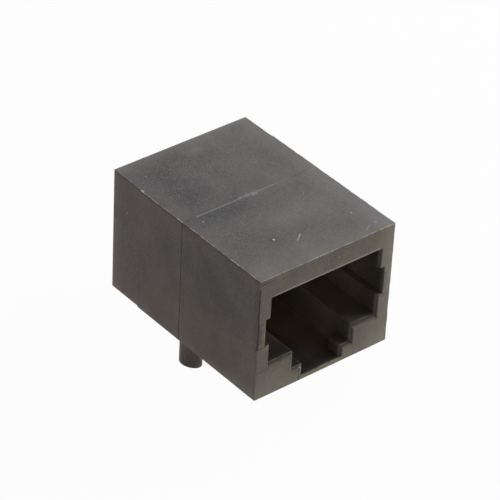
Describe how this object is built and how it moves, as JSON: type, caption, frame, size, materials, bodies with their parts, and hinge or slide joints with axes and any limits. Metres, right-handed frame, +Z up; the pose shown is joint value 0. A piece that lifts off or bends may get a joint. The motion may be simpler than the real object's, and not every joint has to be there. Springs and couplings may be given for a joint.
{
  "type": "modular jack",
  "caption": "Right-angle board jack with a moulded black housing, a latch slot below the mouth, spring contacts, locating posts and staggered solder tails.",
  "frame": {"origin": "on the housing's underside, which is the seating plane on the board, midway between the two board posts", "axes": "-Y out of the mouth, the way the plug leaves; +X to the right of someone looking into the mouth; +Z up from the board"},
  "size_m": [0.0152, 0.0209, 0.0164],
  "materials": {
    "housing": "moulded black polyester, fine spark-eroded texture",
    "carrier": "moulded black polyester, smooth",
    "contact": "copper alloy, gold-plated spring, tinned tail"
  },
  "bodies": {
    "root": {"housing": "housing", "contact_carrier": "carrier", "contact_1": "contact", "contact_2": "contact", "contact_3": "contact", "contact_4": "contact", "contact_5": "contact", "contact_6": "contact", "contact_7": "contact", "contact_8": "contact"}
  },
  "joints": []
}
